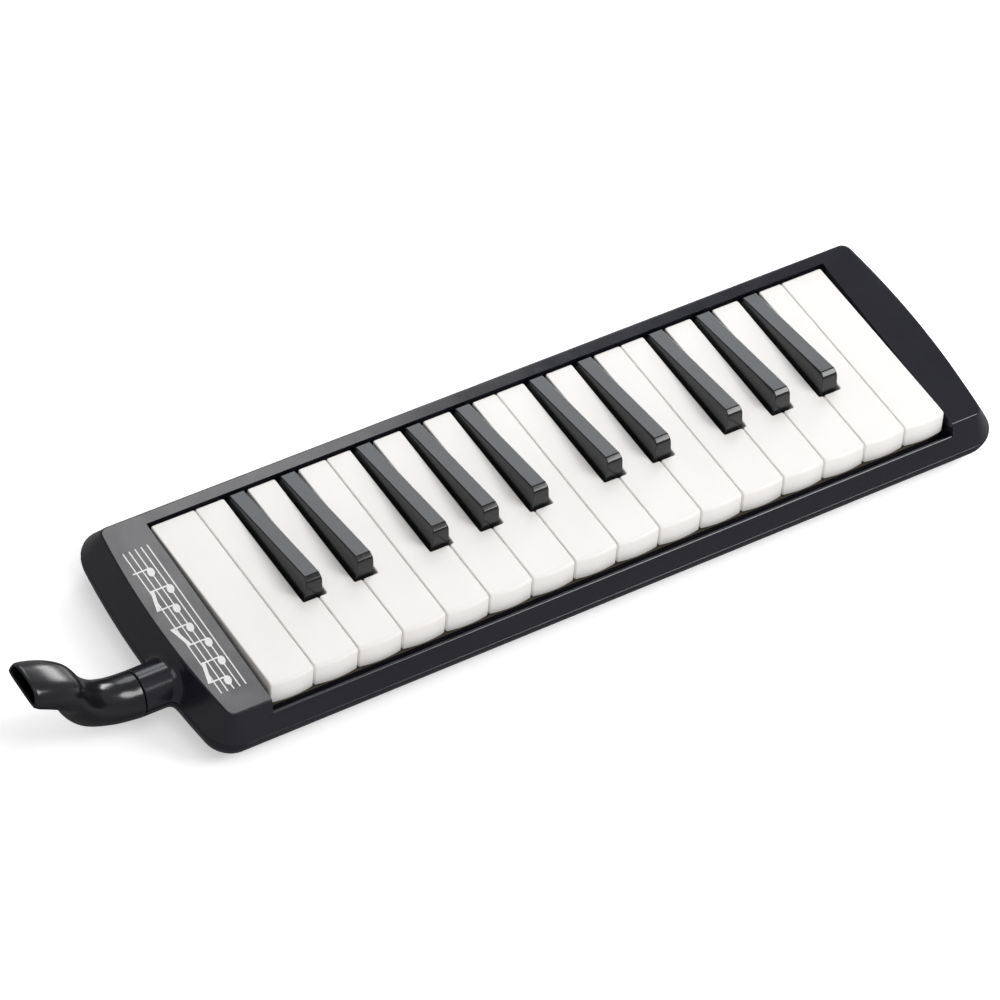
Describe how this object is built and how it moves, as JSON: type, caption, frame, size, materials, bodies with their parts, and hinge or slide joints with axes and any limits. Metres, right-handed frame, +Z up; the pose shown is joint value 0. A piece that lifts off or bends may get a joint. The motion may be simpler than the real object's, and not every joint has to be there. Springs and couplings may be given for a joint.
{
  "type": "melodica",
  "caption": "Keyboard free-reed wind instrument: slim two-shell case, hinged sprung keys, reed chamber, curved pull-off mouthpiece on the left end.",
  "frame": {"origin": "on the case's flat underside, below the middle of its top face", "axes": "+X along the keyboard to the treble end, +Y away from the player, +Z up out of the keys"},
  "size_m": [0.4432, 0.1118, 0.0541],
  "materials": {
    "case": "gloss black moulded",
    "pipe": "semi-gloss black moulded",
    "white_key": "warm white satin",
    "black_key": "satin black",
    "felt": "olive felt",
    "steel": "bright",
    "brass": "rolled",
    "grey_moulding": "matt",
    "rubber": "matt"
  },
  "bodies": {
    "case": {"top_cover": "case", "bottom_cover": "case", "key_axle": "steel", "key_rest_felt": "felt", "spring_comb": "brass", "reed_chamber": "grey_moulding", "reed_plate": "brass", "chamber_gasket": "rubber", "chamber_lid": "grey_moulding", "inlet_duct": "grey_moulding", "drain_valve_body": "grey_moulding", "chamber_screw_1": "steel", "chamber_screw_2": "steel", "chamber_screw_3": "steel", "chamber_screw_4": "steel", "chamber_screw_5": "steel", "chamber_screw_6": "steel", "case_screw_1": "steel", "case_screw_2": "steel", "case_screw_3": "steel", "case_screw_4": "steel", "case_screw_5": "steel", "case_screw_6": "steel"},
    "key_B3": {"key_B3": "white_key"},
    "key_C4": {"key_C4": "white_key"},
    "key_Cs4": {"key_Cs4": "black_key"},
    "key_D4": {"key_D4": "white_key"},
    "key_Ds4": {"key_Ds4": "black_key"},
    "key_E4": {"key_E4": "white_key"},
    "key_F4": {"key_F4": "white_key"},
    "key_Fs4": {"key_Fs4": "black_key"},
    "key_G4": {"key_G4": "white_key"},
    "key_Gs4": {"key_Gs4": "black_key"},
    "key_A4": {"key_A4": "white_key"},
    "key_As4": {"key_As4": "black_key"},
    "key_B4": {"key_B4": "white_key"},
    "key_C5": {"key_C5": "white_key"},
    "key_Cs5": {"key_Cs5": "black_key"},
    "key_D5": {"key_D5": "white_key"},
    "key_Ds5": {"key_Ds5": "black_key"},
    "key_E5": {"key_E5": "white_key"},
    "key_F5": {"key_F5": "white_key"},
    "key_Fs5": {"key_Fs5": "black_key"},
    "key_G5": {"key_G5": "white_key"},
    "key_Gs5": {"key_Gs5": "black_key"},
    "key_A5": {"key_A5": "white_key"},
    "key_As5": {"key_As5": "black_key"},
    "key_B5": {"key_B5": "white_key"},
    "key_C6": {"key_C6": "white_key"},
    "mouthpiece": {"mouthpiece": "pipe"},
    "drain": {"drain_button": "pipe", "drain_seal": "rubber"}
  },
  "joints": [
    {"name": "key_B3_hinge", "type": "hinge", "parent": "case", "child": "key_B3", "pos_m": [0, 0.0165, 0.0185], "axis": [1, 0, 0], "range_deg": [0, 3.3], "stiffness_Nm_per_rad": 0.38, "springref_deg": -4.58},
    {"name": "key_C4_hinge", "type": "hinge", "parent": "case", "child": "key_C4", "pos_m": [0, 0.0165, 0.0185], "axis": [1, 0, 0], "range_deg": [0, 3.3], "stiffness_Nm_per_rad": 0.38, "springref_deg": -4.58},
    {"name": "key_Cs4_hinge", "type": "hinge", "parent": "case", "child": "key_Cs4", "pos_m": [0, 0.0165, 0.0185], "axis": [1, 0, 0], "range_deg": [0, 3.3], "stiffness_Nm_per_rad": 0.38, "springref_deg": -4.58},
    {"name": "key_D4_hinge", "type": "hinge", "parent": "case", "child": "key_D4", "pos_m": [0, 0.0165, 0.0185], "axis": [1, 0, 0], "range_deg": [0, 3.3], "stiffness_Nm_per_rad": 0.38, "springref_deg": -4.58},
    {"name": "key_Ds4_hinge", "type": "hinge", "parent": "case", "child": "key_Ds4", "pos_m": [0, 0.0165, 0.0185], "axis": [1, 0, 0], "range_deg": [0, 3.3], "stiffness_Nm_per_rad": 0.38, "springref_deg": -4.58},
    {"name": "key_E4_hinge", "type": "hinge", "parent": "case", "child": "key_E4", "pos_m": [0, 0.0165, 0.0185], "axis": [1, 0, 0], "range_deg": [0, 3.3], "stiffness_Nm_per_rad": 0.38, "springref_deg": -4.58},
    {"name": "key_F4_hinge", "type": "hinge", "parent": "case", "child": "key_F4", "pos_m": [0, 0.0165, 0.0185], "axis": [1, 0, 0], "range_deg": [0, 3.3], "stiffness_Nm_per_rad": 0.38, "springref_deg": -4.58},
    {"name": "key_Fs4_hinge", "type": "hinge", "parent": "case", "child": "key_Fs4", "pos_m": [0, 0.0165, 0.0185], "axis": [1, 0, 0], "range_deg": [0, 3.3], "stiffness_Nm_per_rad": 0.38, "springref_deg": -4.58},
    {"name": "key_G4_hinge", "type": "hinge", "parent": "case", "child": "key_G4", "pos_m": [0, 0.0165, 0.0185], "axis": [1, 0, 0], "range_deg": [0, 3.3], "stiffness_Nm_per_rad": 0.38, "springref_deg": -4.58},
    {"name": "key_Gs4_hinge", "type": "hinge", "parent": "case", "child": "key_Gs4", "pos_m": [0, 0.0165, 0.0185], "axis": [1, 0, 0], "range_deg": [0, 3.3], "stiffness_Nm_per_rad": 0.38, "springref_deg": -4.58},
    {"name": "key_A4_hinge", "type": "hinge", "parent": "case", "child": "key_A4", "pos_m": [0, 0.0165, 0.0185], "axis": [1, 0, 0], "range_deg": [0, 3.3], "stiffness_Nm_per_rad": 0.38, "springref_deg": -4.58},
    {"name": "key_As4_hinge", "type": "hinge", "parent": "case", "child": "key_As4", "pos_m": [0, 0.0165, 0.0185], "axis": [1, 0, 0], "range_deg": [0, 3.3], "stiffness_Nm_per_rad": 0.38, "springref_deg": -4.58},
    {"name": "key_B4_hinge", "type": "hinge", "parent": "case", "child": "key_B4", "pos_m": [0, 0.0165, 0.0185], "axis": [1, 0, 0], "range_deg": [0, 3.3], "stiffness_Nm_per_rad": 0.38, "springref_deg": -4.58},
    {"name": "key_C5_hinge", "type": "hinge", "parent": "case", "child": "key_C5", "pos_m": [0, 0.0165, 0.0185], "axis": [1, 0, 0], "range_deg": [0, 3.3], "stiffness_Nm_per_rad": 0.38, "springref_deg": -4.58},
    {"name": "key_Cs5_hinge", "type": "hinge", "parent": "case", "child": "key_Cs5", "pos_m": [0, 0.0165, 0.0185], "axis": [1, 0, 0], "range_deg": [0, 3.3], "stiffness_Nm_per_rad": 0.38, "springref_deg": -4.58},
    {"name": "key_D5_hinge", "type": "hinge", "parent": "case", "child": "key_D5", "pos_m": [0, 0.0165, 0.0185], "axis": [1, 0, 0], "range_deg": [0, 3.3], "stiffness_Nm_per_rad": 0.38, "springref_deg": -4.58},
    {"name": "key_Ds5_hinge", "type": "hinge", "parent": "case", "child": "key_Ds5", "pos_m": [0, 0.0165, 0.0185], "axis": [1, 0, 0], "range_deg": [0, 3.3], "stiffness_Nm_per_rad": 0.38, "springref_deg": -4.58},
    {"name": "key_E5_hinge", "type": "hinge", "parent": "case", "child": "key_E5", "pos_m": [0, 0.0165, 0.0185], "axis": [1, 0, 0], "range_deg": [0, 3.3], "stiffness_Nm_per_rad": 0.38, "springref_deg": -4.58},
    {"name": "key_F5_hinge", "type": "hinge", "parent": "case", "child": "key_F5", "pos_m": [0, 0.0165, 0.0185], "axis": [1, 0, 0], "range_deg": [0, 3.3], "stiffness_Nm_per_rad": 0.38, "springref_deg": -4.58},
    {"name": "key_Fs5_hinge", "type": "hinge", "parent": "case", "child": "key_Fs5", "pos_m": [0, 0.0165, 0.0185], "axis": [1, 0, 0], "range_deg": [0, 3.3], "stiffness_Nm_per_rad": 0.38, "springref_deg": -4.58},
    {"name": "key_G5_hinge", "type": "hinge", "parent": "case", "child": "key_G5", "pos_m": [0, 0.0165, 0.0185], "axis": [1, 0, 0], "range_deg": [0, 3.3], "stiffness_Nm_per_rad": 0.38, "springref_deg": -4.58},
    {"name": "key_Gs5_hinge", "type": "hinge", "parent": "case", "child": "key_Gs5", "pos_m": [0, 0.0165, 0.0185], "axis": [1, 0, 0], "range_deg": [0, 3.3], "stiffness_Nm_per_rad": 0.38, "springref_deg": -4.58},
    {"name": "key_A5_hinge", "type": "hinge", "parent": "case", "child": "key_A5", "pos_m": [0, 0.0165, 0.0185], "axis": [1, 0, 0], "range_deg": [0, 3.3], "stiffness_Nm_per_rad": 0.38, "springref_deg": -4.58},
    {"name": "key_As5_hinge", "type": "hinge", "parent": "case", "child": "key_As5", "pos_m": [0, 0.0165, 0.0185], "axis": [1, 0, 0], "range_deg": [0, 3.3], "stiffness_Nm_per_rad": 0.38, "springref_deg": -4.58},
    {"name": "key_B5_hinge", "type": "hinge", "parent": "case", "child": "key_B5", "pos_m": [0, 0.0165, 0.0185], "axis": [1, 0, 0], "range_deg": [0, 3.3], "stiffness_Nm_per_rad": 0.38, "springref_deg": -4.58},
    {"name": "key_C6_hinge", "type": "hinge", "parent": "case", "child": "key_C6", "pos_m": [0, 0.0165, 0.0185], "axis": [1, 0, 0], "range_deg": [0, 3.3], "stiffness_Nm_per_rad": 0.38, "springref_deg": -4.58},
    {"name": "mouthpiece_pull", "type": "slide", "parent": "case", "child": "mouthpiece", "axis": [-1, 0, 0], "range_m": [0, 0.02]},
    {"name": "drain_press", "type": "slide", "parent": "case", "child": "drain", "axis": [-1, 0, 0], "range_m": [0, 0.0018], "stiffness_N_per_m": 300, "springref_m": -0.003}
  ]
}
